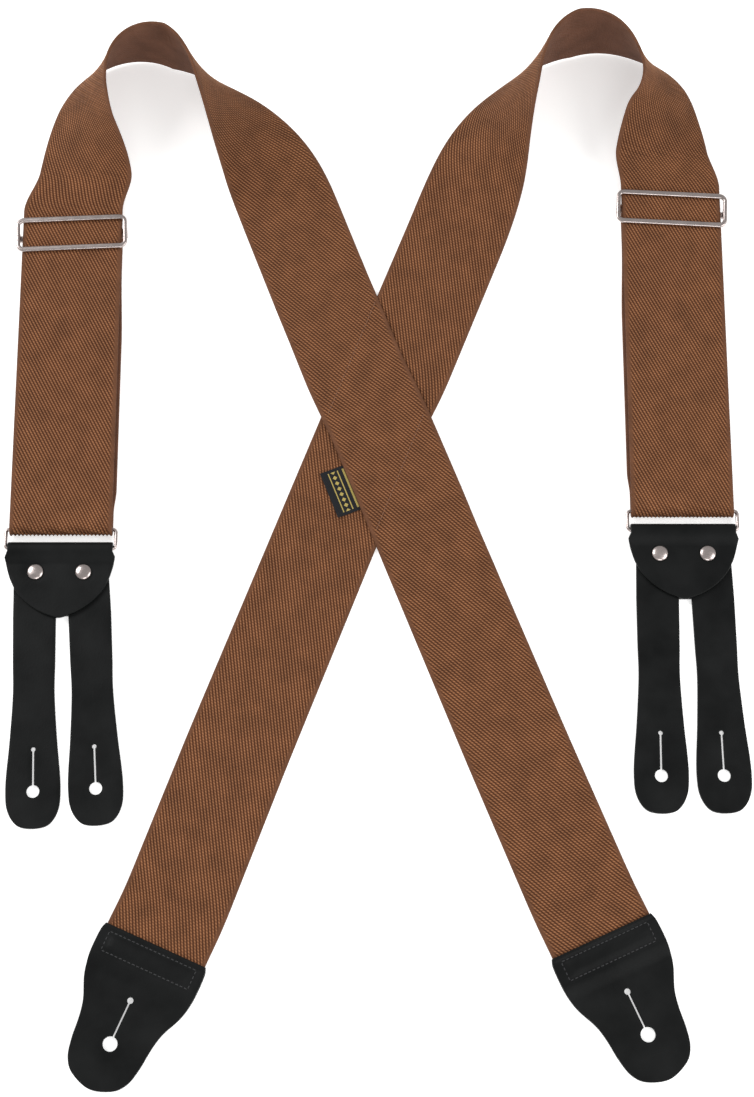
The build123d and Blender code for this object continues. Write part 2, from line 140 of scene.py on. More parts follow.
low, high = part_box("left_rear_layer")
ORIGIN = Vector((500 * (low.x + high.x) - LEFT["strap_x"],
                 1000 * low.y - (LEFT["fold_y"] + LOOP_R + LOOP_LEG), 1000 * low.z))


# ---- small tools ----

def ease(x):
    """Smooth step from 0 to 1."""
    x = np.clip(x, 0.0, 1.0)
    return x * x * (3 - 2 * x)


def bump_at(x, centre, half):
    """Smooth hump of height 1."""
    return ease(1 - np.abs(x - centre) / half)


def laid(points, side):
    """Points of the left layout in metres, in place; the right side is mirrored."""
    points = np.array(points, float).reshape(-1, 3).copy()
    if side is RIGHT:
        points[:, 0] *= -1
    return (points + np.array(ORIGIN)) / 1000


def turned(points, degrees, spot):
    """Points turned about Z and moved to a spot."""
    a = math.radians(degrees)
    c, s = math.cos(a), math.sin(a)
    points = np.array(points, float)
    out = points.copy()
    out[:, 0] = points[:, 0] * c - points[:, 1] * s + spot[0]
    out[:, 1] = points[:, 0] * s + points[:, 1] * c + spot[1]
    return out


def piece(name, bm, side, body, finish, stands_for=(), marks=None, blend=None):
    """Closed mesh in millimetres becomes a named piece that rides on a body."""
    bm.verts.ensure_lookup_table()
    places = laid([v.co for v in bm.verts], side)
    for vert, place in zip(bm.verts, places):
        vert.co = place
    bmesh.ops.recalc_face_normals(bm, faces=bm.faces)
    mesh = bpy.data.meshes.new(name)
    bm.to_mesh(mesh)
    bm.free()
    mesh.polygons.foreach_set("use_smooth", [True] * len(mesh.polygons))
    if marks is not None:
        attribute = mesh.attributes.new("cloth", "FLOAT_VECTOR", "POINT")
        attribute.data.foreach_set("vector", np.array(marks, np.float32).ravel())
    obj = bpy.data.objects.new(name, mesh)
    bpy.context.scene.collection.objects.link(obj)
    mesh.materials.append(finish)
    if blend:
        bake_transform(obj)
    else:
        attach(obj, body)
    if stands_for:
        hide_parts(*stands_for)
    return obj


# ---- shader tools ----

def nodes_of(owner):
    """Adds a node and sets its plain inputs; returns a short builder."""
    tree = owner.node_tree if hasattr(owner, "node_tree") else owner

    def add(kind, *links, **settings):
        node = tree.nodes.new("ShaderNode" + kind)
        for key, value in settings.items():
            if key in node.bl_rna.properties:
                setattr(node, key, value)
            else:
                node.inputs[key.replace("_", " ")].default_value = value
        for socket, source in links:
            tree.links.new(source, node.inputs[socket])
        return node

    return tree, add


def effect(name, inputs, outputs):
    """Empty shader node group with named sockets."""
    group = bpy.data.node_groups.new(name, "ShaderNodeTree")
    for label, kind, value in inputs:
        socket = group.interface.new_socket(label, in_out="INPUT", socket_type="NodeSocket" + kind)
        if value is not None:
            socket.default_value = value
    for label, kind in outputs:
        group.interface.new_socket(label, in_out="OUTPUT", socket_type="NodeSocket" + kind)
    tree, add = nodes_of(group)
    return group, tree, add, tree.nodes.new("NodeGroupInput"), tree.nodes.new("NodeGroupOutput")


def maths_of(tree, add):
    """Short builder for Math nodes from numbers and links."""
    def calc(operation, *values, clamp=False):
        node = add("Math", operation=operation, use_clamp=clamp)
        for i, value in enumerate(values):
            if isinstance(value, (int, float)):
                node.inputs[i].default_value = value
            else:
                tree.links.new(value, node.inputs[i])
        return node.outputs[0]
    return calc


def mottle_effect():
    """Uneven dye and dust: slow variation of tone, and fine specks."""
    group, tree, add, gin, gout = effect(
        "Mottle",
        [("Vector", "Vector", None), ("Patch Scale", "Float", 60.0), ("Speck Scale", "Float", 900.0)],
        [("Patch", "Float"), ("Speck", "Float")])
    patch = add("TexNoise", ("Vector", gin.outputs["Vector"]), ("Scale", gin.outputs["Patch Scale"]),
                Detail=3.0, Roughness=0.55)
    speck = add("TexNoise", ("Vector", gin.outputs["Vector"]), ("Scale", gin.outputs["Speck Scale"]),
                Detail=2.0, Roughness=0.6)
    tree.links.new(patch.outputs[0], gout.inputs["Patch"])
    tree.links.new(speck.outputs[0], gout.inputs["Speck"])
    return group


def ribs_effect():
    """Diagonal ribs and the short yarn floats on them, from (across, along, face) in millimetres."""
    group, tree, add, gin, gout = effect(
        "Webbing Ribs", [("Vector", "Vector", None), ("Lean", "Float", RIB_LEAN), ("Run", "Float", RIB_RUN),
                         ("Float Length", "Float", 1.3)],
        [(label, "Float") for label in ("Rib", "Yarn", "Selvage", "Front", "Back Knit")])
    parts = add("SeparateXYZ", ("Vector", gin.outputs["Vector"]))
    across, along, face = (parts.outputs[i] for i in range(3))

    calc = maths_of(tree, add)
    lean = calc("MULTIPLY", across, gin.outputs["Lean"])
    phase = calc("DIVIDE", calc("SUBTRACT", along, lean), gin.outputs["Run"])
    wave = calc("COSINE", calc("MULTIPLY", phase, 2 * math.pi))
    rib = calc("MULTIPLY_ADD", wave, 0.5, 0.5)
    beat = calc("DIVIDE", calc("ADD", along, calc("MULTIPLY", phase, 0.45)), gin.outputs["Float Length"])
    float_wave = calc("COSINE", calc("MULTIPLY", beat, 2 * math.pi))
    yarn = calc("MULTIPLY_ADD", float_wave, 0.5, 0.5)
    edge = calc("SUBTRACT", calc("ABSOLUTE", across), STRAP_W / 2 - 2.6)
    selvage = calc("DIVIDE", edge, 1.4, clamp=True)
    front = calc("MULTIPLY_ADD", face, 0.5, 0.5, clamp=True)
    fine = calc("COSINE", calc("MULTIPLY", along, 2 * math.pi / 0.8))
    cross = calc("COSINE", calc("MULTIPLY", across, 2 * math.pi / 0.9))
    knit = calc("MULTIPLY_ADD", calc("MULTIPLY", fine, cross), 0.5, 0.5)
    results = (("Rib", rib), ("Yarn", yarn), ("Selvage", selvage), ("Front", front), ("Back Knit", knit))
    for label, value in results:
        tree.links.new(value, gout.inputs[label])
    return group


MOTTLE = mottle_effect()
RIBS = ribs_effect()


def finish_of(name, **sockets):
    """Material with its Principled BSDF's uniform values set on its own sockets."""
    material = bpy.data.materials.new(name)
    material.use_nodes = True
    shader = material.node_tree.nodes["Principled BSDF"]
    for key, value in sockets.items():
        shader.inputs[key.replace("_", " ")].default_value = value
    tree, add = nodes_of(material)
    return material, shader, tree, add


def mix_colour(add, factor, a, b, **settings):
    """Colour a to b by factor; each may be a colour or a link."""
    node = add("Mix", data_type="RGBA", **settings)
    for i, value in ((0, factor), (6, a), (7, b)):
        if isinstance(value, (tuple, float)):
            node.inputs[i].default_value = value
        else:
            node.id_data.links.new(value, node.inputs[i])
    return node.outputs[2]


def group_in(tree, group, **values):
    node = tree.nodes.new("ShaderNodeGroup")
    node.node_tree = group
    for key, value in values.items():
        node.inputs[key.replace("_", " ")].default_value = value
    return node


def webbing_finish(name, lean):
    """Brown elastic webbing: rib tops painted lighter and grooves painted darker over the real relief, a
    painted highlight and painted shade; smoother and duller behind.
    """
    material, shader, tree, add = finish_of(
        name, Roughness=0.85, Sheen_Weight=0.06, Sheen_Roughness=0.5, Sheen_Tint=(0.62, 0.36, 0.24, 1),
        Specular_IOR_Level=0.18)
    cloth = add("Attribute", attribute_name="cloth")
    ribs = group_in(tree, RIBS, Lean=lean)
    tree.links.new(cloth.outputs["Vector"], ribs.inputs["Vector"])
    dust = group_in(tree, MOTTLE, Patch_Scale=0.09, Speck_Scale=2.6)
    tree.links.new(cloth.outputs["Vector"], dust.inputs["Vector"])
    # painted light: the dark groove colour is painted shade between the ribs and the light top colours are
    # painted highlight, on top of the real rib relief
    tone = add("MapRange", ("Value", ribs.outputs["Rib"]), From_Min=0.15, From_Max=0.95)
    tops = mix_colour(add, ribs.outputs["Yarn"], (0.150, 0.057, 0.022, 1), (0.33, 0.145, 0.064, 1))
    ribbed = mix_colour(add, tone.outputs["Result"], (0.062, 0.021, 0.0085, 1), tops)
    edged = mix_colour(add, ribs.outputs["Selvage"], ribbed, (0.130, 0.054, 0.026, 1))
    behind = mix_colour(add, ribs.outputs["Back Knit"], (0.080, 0.034, 0.019, 1), (0.175, 0.078, 0.046, 1))
    sides = mix_colour(add, ribs.outputs["Front"], behind, edged)
    wear = add("MapRange", ("Value", dust.outputs["Patch"]), From_Min=0.3, From_Max=0.7,
               To_Min=0.82, To_Max=1.14)
    speck = add("MapRange", ("Value", dust.outputs["Speck"]), From_Min=0.2, From_Max=0.8,
                To_Min=0.78, To_Max=1.2)
    level = add("Math", (0, wear.outputs["Result"]), (1, speck.outputs["Result"]), operation="MULTIPLY")
    final = mix_colour(add, 1.0, sides, level.outputs[0], blend_type="MULTIPLY")
    tree.links.new(final, shader.inputs["Base Color"])
    rough = add("MapRange", ("Value", ribs.outputs["Rib"]), To_Min=0.95, To_Max=0.72)
    tree.links.new(rough.outputs["Result"], shader.inputs["Roughness"])
    height = add("Math", (0, ribs.outputs["Yarn"]), (1, dust.outputs["Speck"]), operation="ADD")
    bump = add("Bump", ("Height", height.outputs[0]), Strength=0.5, Distance=0.00012)
    tree.links.new(bump.outputs["Normal"], shader.inputs["Normal"])
    return material


def leather_finish():
    """Black drum-dyed leather: fine pebble grain, slow creases, a soft sheen."""
    material, shader, tree, add = finish_of(
        "black_leather", Roughness=0.5, Specular_IOR_Level=0.12)
    place = add("TexCoord")
    dust = group_in(tree, MOTTLE, Patch_Scale=45.0, Speck_Scale=700.0)
    tree.links.new(place.outputs["Object"], dust.inputs["Vector"])
    grain = add("TexVoronoi", ("Vector", place.outputs["Object"]), Scale=1300.0, feature="SMOOTH_F1")
    tone = add("MapRange", ("Value", dust.outputs["Patch"]), From_Min=0.3, From_Max=0.7)
    colour = mix_colour(add, tone.outputs["Result"], (0.0036, 0.0040, 0.0040, 1), (0.0078, 0.0084, 0.0084, 1))
    tree.links.new(colour, shader.inputs["Base Color"])
    rough = add("MapRange", ("Value", dust.outputs["Patch"]), From_Min=0.25, From_Max=0.75,
                To_Min=0.38, To_Max=0.56)
    tree.links.new(rough.outputs["Result"], shader.inputs["Roughness"])
    height = add("Math", (0, grain.outputs["Distance"]), (1, dust.outputs["Speck"]), operation="ADD")
    bump = add("Bump", ("Height", height.outputs[0]), Strength=0.28, Distance=0.00012)
    tree.links.new(bump.outputs["Normal"], shader.inputs["Normal"])
    return material


def nickel_finish():
    """Nickel plate: bright, with fine scratches and a little dulling; its rosy grey base is partly the metal's
    own tone and partly painted reflection of the brown webbing.
    """
    material, shader, tree, add = finish_of("nickel_plate", Metallic=1.0, Roughness=0.24)
    place = add("TexCoord")
    dust = group_in(tree, MOTTLE, Patch_Scale=120.0, Speck_Scale=1500.0)
    tree.links.new(place.outputs["Object"], dust.inputs["Vector"])
    stretch = add("Mapping", ("Vector", place.outputs["Object"]), Scale=(300.0, 5000.0, 5000.0))
    scratch = add("TexNoise", ("Vector", stretch.outputs[0]), Scale=1.0, Detail=2.0)
    # partly painted reflection: the rosy tint of both nickel tones stands in for the brown webbing mirrored in
    # the metal
    colour = mix_colour(add, dust.outputs["Patch"], (0.40, 0.345, 0.33, 1), (0.54, 0.475, 0.455, 1))
    tree.links.new(colour, shader.inputs["Base Color"])
    both = add("Math", (0, dust.outputs["Patch"]), (1, scratch.outputs[0]), operation="MULTIPLY")
    rough = add("MapRange", ("Value", both.outputs[0]), From_Min=0.1, From_Max=0.4, To_Min=0.17, To_Max=0.36)
    tree.links.new(rough.outputs["Result"], shader.inputs["Roughness"])
    bump = add("Bump", ("Height", scratch.outputs[0]), Strength=0.12, Distance=0.00003)
    tree.links.new(bump.outputs["Normal"], shader.inputs["Normal"])
    return material


def thread_finish(name, dark, light):
    """Sewing thread: two plies twisted together."""
    material, shader, tree, add = finish_of(name, Roughness=0.7, Sheen_Weight=0.2, Specular_IOR_Level=0.3)
    place = add("TexCoord")
    twist = add("TexWave", ("Vector", place.outputs["Object"]), Scale=900.0, Distortion=1.5,
                bands_direction="DIAGONAL")
    colour = mix_colour(add, twist.outputs["Fac"], dark, light)
    tree.links.new(colour, shader.inputs["Base Color"])
    bump = add("Bump", ("Height", twist.outputs["Fac"]), Strength=0.4, Distance=0.00008)
    tree.links.new(bump.outputs["Normal"], shader.inputs["Normal"])
    return material


def label_finish():
    """Black satin label with gold lines and lozenges woven along it."""
    material, shader, tree, add = finish_of("woven_label_satin", Roughness=0.7, Specular_IOR_Level=0.15)
    cloth = add("Attribute", attribute_name="cloth")
    parts = add("SeparateXYZ", ("Vector", cloth.outputs["Vector"]))

    calc = maths_of(tree, add)
    across, along = parts.outputs[0], parts.outputs[1]
    lines = []
    for centre, half in ((3.4, 0.5), (0.6, 0.28), (-4.2, 0.28)):
        lines.append(calc("LESS_THAN", calc("ABSOLUTE", calc("SUBTRACT", across, centre)), half))
    inside = calc("LESS_THAN", calc("ABSOLUTE", along), LABEL_L / 2 - 1.6)
    any_line = calc("MULTIPLY", calc("MAXIMUM", calc("MAXIMUM", lines[0], lines[1]), lines[2]), inside)
    step = calc("ABSOLUTE", calc("SUBTRACT", calc("MODULO", calc("ADD", along, 60.0), 3.0), 1.5))
    lozenge = calc("LESS_THAN", calc("ADD", step, calc("ABSOLUTE", calc("ADD", across, 1.8))), 1.15)
    any_line = calc("MAXIMUM", any_line, calc("MULTIPLY", lozenge, inside))
    picks = calc("MULTIPLY_ADD", calc("COSINE", calc("MULTIPLY", along, 2 * math.pi / 0.42)), 0.5, 0.5)
    ends = calc("MULTIPLY_ADD", calc("COSINE", calc("MULTIPLY", across, 2 * math.pi / 0.5)), 0.5, 0.5)
    satin = mix_colour(add, picks, (0.006, 0.0065, 0.008, 1), (0.018, 0.019, 0.022, 1))
    gold = mix_colour(add, picks, (0.20, 0.15, 0.032, 1), (0.55, 0.44, 0.14, 1))
    colour = mix_colour(add, any_line, satin, gold)
    tree.links.new(colour, shader.inputs["Base Color"])
    height = calc("ADD", calc("MULTIPLY", picks, ends), any_line)
    bump = add("Bump", ("Height", height), Strength=0.5, Distance=0.0001)
    tree.links.new(bump.outputs["Normal"], shader.inputs["Normal"])
    return material


WEBBING = {"left": webbing_finish("brown_webbing", -RIB_LEAN),
           "right": webbing_finish("brown_webbing_other_hand", RIB_LEAN)}
LEATHER = leather_finish()
NICKEL = nickel_finish()
BROWN_THREAD = thread_finish("brown_thread", (0.10, 0.04, 0.02, 1), (0.27, 0.12, 0.06, 1))
BLACK_THREAD = thread_finish("black_thread", (0.010, 0.010, 0.011, 1), (0.045, 0.045, 0.048, 1))
LABEL = label_finish()


# ---- webbing ----

def arch_line(side, step):
    """Heading, roll and height along the shoulder arch, and the plan line that they give."""
    s = np.arange(0.0, side["arch_len"] + step / 2, step)
    heading = 90 - sum(angle * ease((s - begin) / length) for begin, length, angle in side["turns"])
    c, d = side["roll_out"]
    roll = 90 * np.minimum(ease((s / side["roll_in"]) ** CURL), ease((side["arch_len"] - c - s) / d))
    z = STRAP_T / 2 + FRONT_Z * (1 - ease(s / DESCENT)) + (STRAP_W / 2 + 0.3) * np.sin(np.radians(roll))
    run = step * np.sqrt(np.clip(1 - (np.gradient(z) / step) ** 2, 0.1, 1))
    x = side["strap_x"] + np.concatenate([[0], np.cumsum(run * np.cos(np.radians(heading)))[:-1]])
    y = side["arch_y"] + np.concatenate([[0], np.cumsum(run * np.sin(np.radians(heading)))[:-1]])
    shift_in, fall = side["inward"]
    inward = shift_in * ease(s / INWARD_RISE) * (1 - ease((s - INWARD_RISE) / fall))
    return np.stack([x, y, z], 1), roll, inward


def smoothed(values, window):
    """Moving average that keeps both ends."""
    half = window // 2
    padded = np.concatenate([np.repeat(values[:1], half, 0), values, np.repeat(values[-1:], half, 0)])
    kernel = np.hanning(2 * half + 3)[1:-1]
    kernel /= kernel.sum()
    return np.stack([np.convolve(padded[:, i], kernel, "valid") for i in range(values.shape[1])], 1)


def strap_line(side):
    """Centre, width direction and face direction along one whole strap, ring end first."""
    step = 0.5
    y0 = side["fold_y"] + LOOP_R + LOOP_LEG
    front_y = np.arange(y0, side["arch_y"], step)
    front = np.stack([np.full_like(front_y, side["strap_x"]), front_y,
                      np.full_like(front_y, FRONT_Z + STRAP_T / 2)], 1)
    arch, arch_roll, inward = arch_line(side, step)
    turn = math.radians(side["back_turn"])
    down = np.array([math.sin(turn), -math.cos(turn)])
    end = np.array(side["back"])
    corners = [arch[-1, :2]] + [np.array(p) for p in side["back_line"]]
    corners += [end - down * (BACK_TOP + 20), end - down * (BACK_TOP - 15)]
    run = []
    for a, b in zip(corners[:-1], corners[1:]):
        count = int(np.hypot(*(b - a)) / step)
        run.append(a + (b - a) * (np.arange(1, count + 1) / count)[:, None])
    run = np.concatenate(run)
    back = np.column_stack([run, np.full(len(run), STRAP_T / 2)])
    line = np.concatenate([front, arch, back])
    roll = np.concatenate([np.zeros(len(front)), arch_roll, np.zeros(len(back))])
    arch_end = len(front) + len(arch)
    soft = smoothed(line[:, :2], 60)
    weight = ease((np.arange(len(line)) - (arch_end - 40)) / 40)[:, None]
    line[:, :2] = line[:, :2] * (1 - weight) + soft * weight
    flat = slice(arch_end, len(line))
    x, y = line[flat, 0], line[flat, 1]
    to_end = np.arange(len(x))[::-1] * step
    lift = BACK_T * ease((31 - to_end) / 16)
    if side is LEFT:
        (ax, ay), (bx, by) = (np.array([-p[0], p[1]]) for p in RIGHT["back_line"][1:])
        length = math.hypot(bx - ax, by - ay)
        off = np.abs((x - ax) * (by - ay) - (y - ay) * (bx - ax)) / length
        lift += CROSS_LIFT * ease((52 - off) / 20)
    line[flat, 2] += lift
    line[:, 2] = smoothed(line[:, 2:], 12)[:, 0]
    along = np.gradient(line, axis=0)
    along /= np.linalg.norm(along, axis=1)[:, None]
    heading = np.arctan2(along[:, 1], along[:, 0])
    level = np.stack([np.sin(heading), -np.cos(heading), np.zeros_like(heading)], 1)
    tilt = np.radians(roll)[:, None]
    width = level * np.cos(tilt) + np.cross(level, along) * np.sin(tilt)
    line[len(front):arch_end, 0] += inward
    length = np.concatenate([[0], np.cumsum(np.linalg.norm(np.diff(line, axis=0), axis=1))])
    return line, width, np.cross(width, along), length


def yz_line(points, x):
    """Line in the plane of one x, for the doubled end of a strap; the width runs along X."""
    points = np.array(points, float)
    line = np.column_stack([np.full(len(points), x), points])
    along = np.gradient(line, axis=0)
    along /= np.linalg.norm(along, axis=1)[:, None]
    width = np.tile([1.0, 0, 0], (len(line), 1))
    length = np.concatenate([[0], np.cumsum(np.linalg.norm(np.diff(line, axis=0), axis=1))])
    return line, width, np.cross(width, along), length


def arc(centre, radius, start, end, step=0.25):
    """Points on an arc, in (y, z)."""
    count = max(6, int(abs(math.radians(end - start)) * radius / step))
    angles = np.radians(np.linspace(start, end, count))
    return [(centre[0] + radius * math.cos(a), centre[1] + radius * math.sin(a)) for a in angles]


def section_loop():
    """Closed section of the webbing: (across, height, share of rib, face), rounded at the selvages."""
    half, r = STRAP_W / 2, STRAP_T / 2
    loop = []
    flat = half - r
    for u in np.linspace(-flat, flat, 27):
        loop.append((u, r, float(ease((flat - abs(u)) / 1.8)), 1.0))
    for a in (60, 30, 0, -30, -60):
        c, s = math.cos(math.radians(a)), math.sin(math.radians(a))
        loop.append((flat + r * c, r * s, 0.0, s))
    for u in np.linspace(flat, -flat, 15):
        loop.append((u, -r, 0.0, -1.0))
    for a in (-120, -150, 180, 150, 120):
        c, s = math.cos(math.radians(a)), math.sin(math.radians(a))
        loop.append((-flat + r * c, r * s, 0.0, s))
    return loop


SECTION = section_loop()


def webbing(name, line, side, body, node, start=0.0, blend=None, sag=None, relief_share=1.0):
    """Ribbon of webbing along a line. Its rows follow the ribs, so that each rib is real relief."""
    centres, widths, faces, lengths = line
    total = lengths[-1]
    lean = -RIB_LEAN if side is LEFT else RIB_LEAN
    gap = RIB_RUN / RIB_STEPS
    reach = RIB_LEAN * STRAP_W / 2
    first = math.floor((start - reach) / gap) - 1
    last = math.ceil((start + total + reach) / gap) + 1
    rows = np.arange(first, last + 1)
    u = np.array([p[0] for p in SECTION])
    w = np.array([p[1] for p in SECTION])
    ribbed = np.array([p[2] for p in SECTION])
    facing = np.array([p[3] for p in SECTION])
    base = rows[:, None] * gap
    along = np.clip(base + lean * u[None, :], start, start + total)
    phase = (along - lean * u[None, :]) / RIB_RUN
    relief = relief_share * RIB_HEIGHT * (0.5 + 0.5 * np.cos(2 * np.pi * phase) - 0.6) * ribbed[None, :]
    flat = (along - start).ravel()
    spots, across, out = (np.stack([np.interp(flat, lengths, a[:, i]) for i in range(3)], 1)
                          for a in (centres, widths, faces))
    across /= np.linalg.norm(across, axis=1)[:, None]
    out /= np.linalg.norm(out, axis=1)[:, None]
    uu = np.tile(u, len(rows))
    ww = np.tile(w, len(rows)) + relief.ravel()
    places = spots + across * uu[:, None] + out * ww[:, None]
    if sag is not None:
        places = sag(places)
    marks = np.column_stack([uu, along.ravel(), np.tile(facing, len(rows))])
    n = len(SECTION)
    keep = (along > start).any(1) & (along < start + total).any(1)
    used = np.flatnonzero(keep)
    lo, hi = max(used[0] - 1, 0), min(used[-1] + 1, len(rows) - 1)
    quads = [(k * n + j, k * n + (j + 1) % n, (k + 1) * n + (j + 1) % n, (k + 1) * n + j)
             for k in range(lo, hi) for j in range(n)]
    bm = bmesh.new()
    layer = bm.verts.layers.float_vector.new("cloth")
    verts = {}
    for i in range(lo * n, (hi + 1) * n):
        verts[i] = bm.verts.new(places[i])
        verts[i][layer] = marks[i]
    for quad in quads:
        bm.faces.new([verts[i] for i in quad])
    bmesh.ops.remove_doubles(bm, verts=bm.verts, dist=1e-4)
    bmesh.ops.dissolve_degenerate(bm, edges=bm.edges, dist=1e-5)
    ends = [e for e in bm.edges if len(e.link_faces) == 1]
    bmesh.ops.holes_fill(bm, edges=ends, sides=0)
    for edge in ends:
        edge.smooth = False
    return piece(name, bm, side, body, WEBBING[side["name"]], (node,), blend=blend)


def strap_end_lines(side):
    """The webbing from its sewn end over the adjuster's bar, down the back and round the ring."""
    x, bar_y = side["strap_x"], side["adjuster"][1]
    low_z, fold_y = STRAP_T / 2, side["fold_y"]
    leg_y = fold_y + LOOP_R + LOOP_LEG
    hem_low = bar_y - HEM_TAIL - STRAP_T
    near, y1 = bar_y - BAR_W / 2 - HEM_SLACK, bar_y + BAR_W / 2 + HEM_SLACK
    top_z = TAIL_Z + STRAP_T / 2
    tail = [(y, 1.5 * STRAP_T + (top_z - 1.5 * STRAP_T) * float(ease((y - near + 5) / 5.5)))
            for y in np.arange(bar_y - HEM_TAIL, y1 - 0.8, 0.5)]
    r = (top_z - low_z) / 2
    hem = tail + arc((y1 - 0.8, low_z + r), r, 90, -90) + [
        (y, low_z) for y in np.append(np.arange(y1 - 1.3, hem_low, -0.5), hem_low)]
    rear = [(y, low_z) for y in np.append(np.arange(hem_low, leg_y, -0.5), leg_y)]
    r = LOOP_R - STRAP_T / 2
    ring_y = fold_y + LOOP_R
    loop = [(y, low_z) for y in np.arange(leg_y, ring_y, -0.5)]
    loop += arc((ring_y, LOOP_R), r, 270, 90) + [
        (y, 2 * LOOP_R - low_z) for y in np.append(np.arange(ring_y + 0.5, leg_y, 0.5), leg_y)]
    return yz_line(hem, x), yz_line(rear, x), yz_line(loop, x)


def rear_drift(side):
    """The back layer sits a little off the front one, more towards the ring."""
    leg_y = side["fold_y"] + LOOP_R + LOOP_LEG
    top_y = side["adjuster"][1] - HEM_TAIL - STRAP_T

    def drift(places):
        places[:, 0] += 1.1 * ease((places[:, 1] - leg_y) / 12) * ease((top_y - places[:, 1]) / 40)
        return places
    return drift


def strap_pieces(side):
    """The runs of one strap's webbing; the ring loop rides on the fold's body."""
    name = side["name"]
    line = strap_line(side)
    hem, rear, loop = strap_end_lines(side)
    fold, slider = name + "_strap_fold", name + "_adjuster_body"
    leg_y = side["fold_y"] + LOOP_R + LOOP_LEG
    hem_low = side["adjuster"][1] - HEM_TAIL - STRAP_T
    at = [tuple(laid([(side["strap_x"], y, 0)], side)[0])
          for y in (hem_low - 6, leg_y + 2, leg_y + 4, hem_low - 2)]
    seam = int(np.argmax(line[0][:, 1] > side["adjuster"][1] + ADJUSTER_H / 2 - ADJUSTER_RAIL / 2))
    front = tuple(part[:seam + 1] for part in line)
    rest = tuple(part[seam:] for part in line[:3]) + (line[3][seam:] - line[3][seam],)
    webbing(side["strap"] + "_front_webbing", front, side, None, side["strap"], 0.0,
            blend=("root", fold, at[0], at[1]))
    webbing(side["strap"] + "_shoulder_webbing", rest, side, "root", side["strap"], line[3][seam])
    webbing(name + "_ring_loop_webbing", loop, side, fold, name + "_ring_loop", -loop[3][-1],
            relief_share=0.3)
    webbing(name + "_rear_webbing", rear, side, None, name + "_rear_layer", -loop[3][-1] - rear[3][-1],
            blend=(fold, slider, at[2], at[3]), sag=rear_drift(side))
    webbing(name + "_hem_webbing", hem, side, slider, name + "_hem", -loop[3][-1] - rear[3][-1] - hem[3][-1])
    return line


# ---- leather and flat metal, cut from outlines ----

def cut_out(rings, thick, rounding, rounds=3):
    """Closed slab with rounded edges from flat outlines; the first is the outside and the rest are holes."""
    curve = bpy.data.curves.new("pattern", "CURVE")
    curve.dimensions = "2D"
    curve.fill_mode = "BOTH"
    for ring in rings:
        spline = curve.splines.new("POLY")
        spline.points.add(len(ring) - 1)
        for point, (x, y) in zip(spline.points, ring):
            point.co = (x, y, 0, 1)
        spline.use_cyclic_u = True
    curve.extrude = thick / 2 - rounding
    curve.bevel_depth = rounding
    curve.bevel_resolution = rounds
    curve.offset = -rounding
    holder = bpy.data.objects.new("pattern", curve)
    bpy.context.scene.collection.objects.link(holder)
    bpy.context.view_layer.update()
    mesh = bpy.data.meshes.new_from_object(holder.evaluated_get(bpy.context.evaluated_depsgraph_get()))
    bm = bmesh.new()
    bm.from_mesh(mesh)
    bpy.data.objects.remove(holder)
    bpy.data.curves.remove(curve)
    bpy.data.meshes.remove(mesh)
    bmesh.ops.remove_doubles(bm, verts=bm.verts, dist=1e-3)
    for vert in bm.verts:
        vert.co.z += thick / 2
    return bm


def sliced(bm, axis, cuts):
    """Cuts a slab across at each place, so that it can bend there."""
    normal = [0.0, 0.0, 0.0]
    normal[axis] = 1.0
    for cut in cuts:
        spot = [0.0, 0.0, 0.0]
        spot[axis] = float(cut)
        bmesh.ops.bisect_plane(bm, geom=bm.verts[:] + bm.edges[:] + bm.faces[:], dist=1e-4,
                               plane_co=spot, plane_no=normal)


def curve_through(points, per=8):
    """Smooth open outline through points."""
    points = np.array(points, float)
    padded = np.concatenate([[2 * points[0] - points[1]], points, [2 * points[-1] - points[-2]]])
    out = []
    for i in range(1, len(padded) - 2):
        p0, p1, p2, p3 = padded[i - 1:i + 3]
        for t in np.arange(per) / per:
            out.append(0.5 * (2 * p1 + (p2 - p0) * t + (2 * p0 - 5 * p1 + 4 * p2 - p3) * t ** 2
                              + (3 * p1 - p0 - 3 * p2 + p3) * t ** 3))
    out.append(points[-1])
    return [tuple(p) for p in out]


def keyhole(hole_r, hole_d, relief_r, relief_d):
    """Outline of a round hole, a slit and the small hole that ends the slit; distances run down -Y."""
    half = SLIT_W / 2
    a0, b0 = math.degrees(math.asin(half / hole_r)), math.degrees(math.asin(half / relief_r))
    ring = []
    for a in np.linspace(90 + a0, 450 - a0, 40):
        ring.append((hole_r * math.cos(math.radians(a)), -hole_d + hole_r * math.sin(math.radians(a))))
    for a in np.linspace(-90 + b0, 270 - b0, 22):
        ring.append((relief_r * math.cos(math.radians(a)), -relief_d + relief_r * math.sin(math.radians(a))))
    return ring


def mapped(bm, bend):
    """Moves every vertex by a function of all of them at once."""
    bm.verts.ensure_lookup_table()
    places = bend(np.array([v.co for v in bm.verts], float))
    for vert, place in zip(bm.verts, places):
        vert.co = place


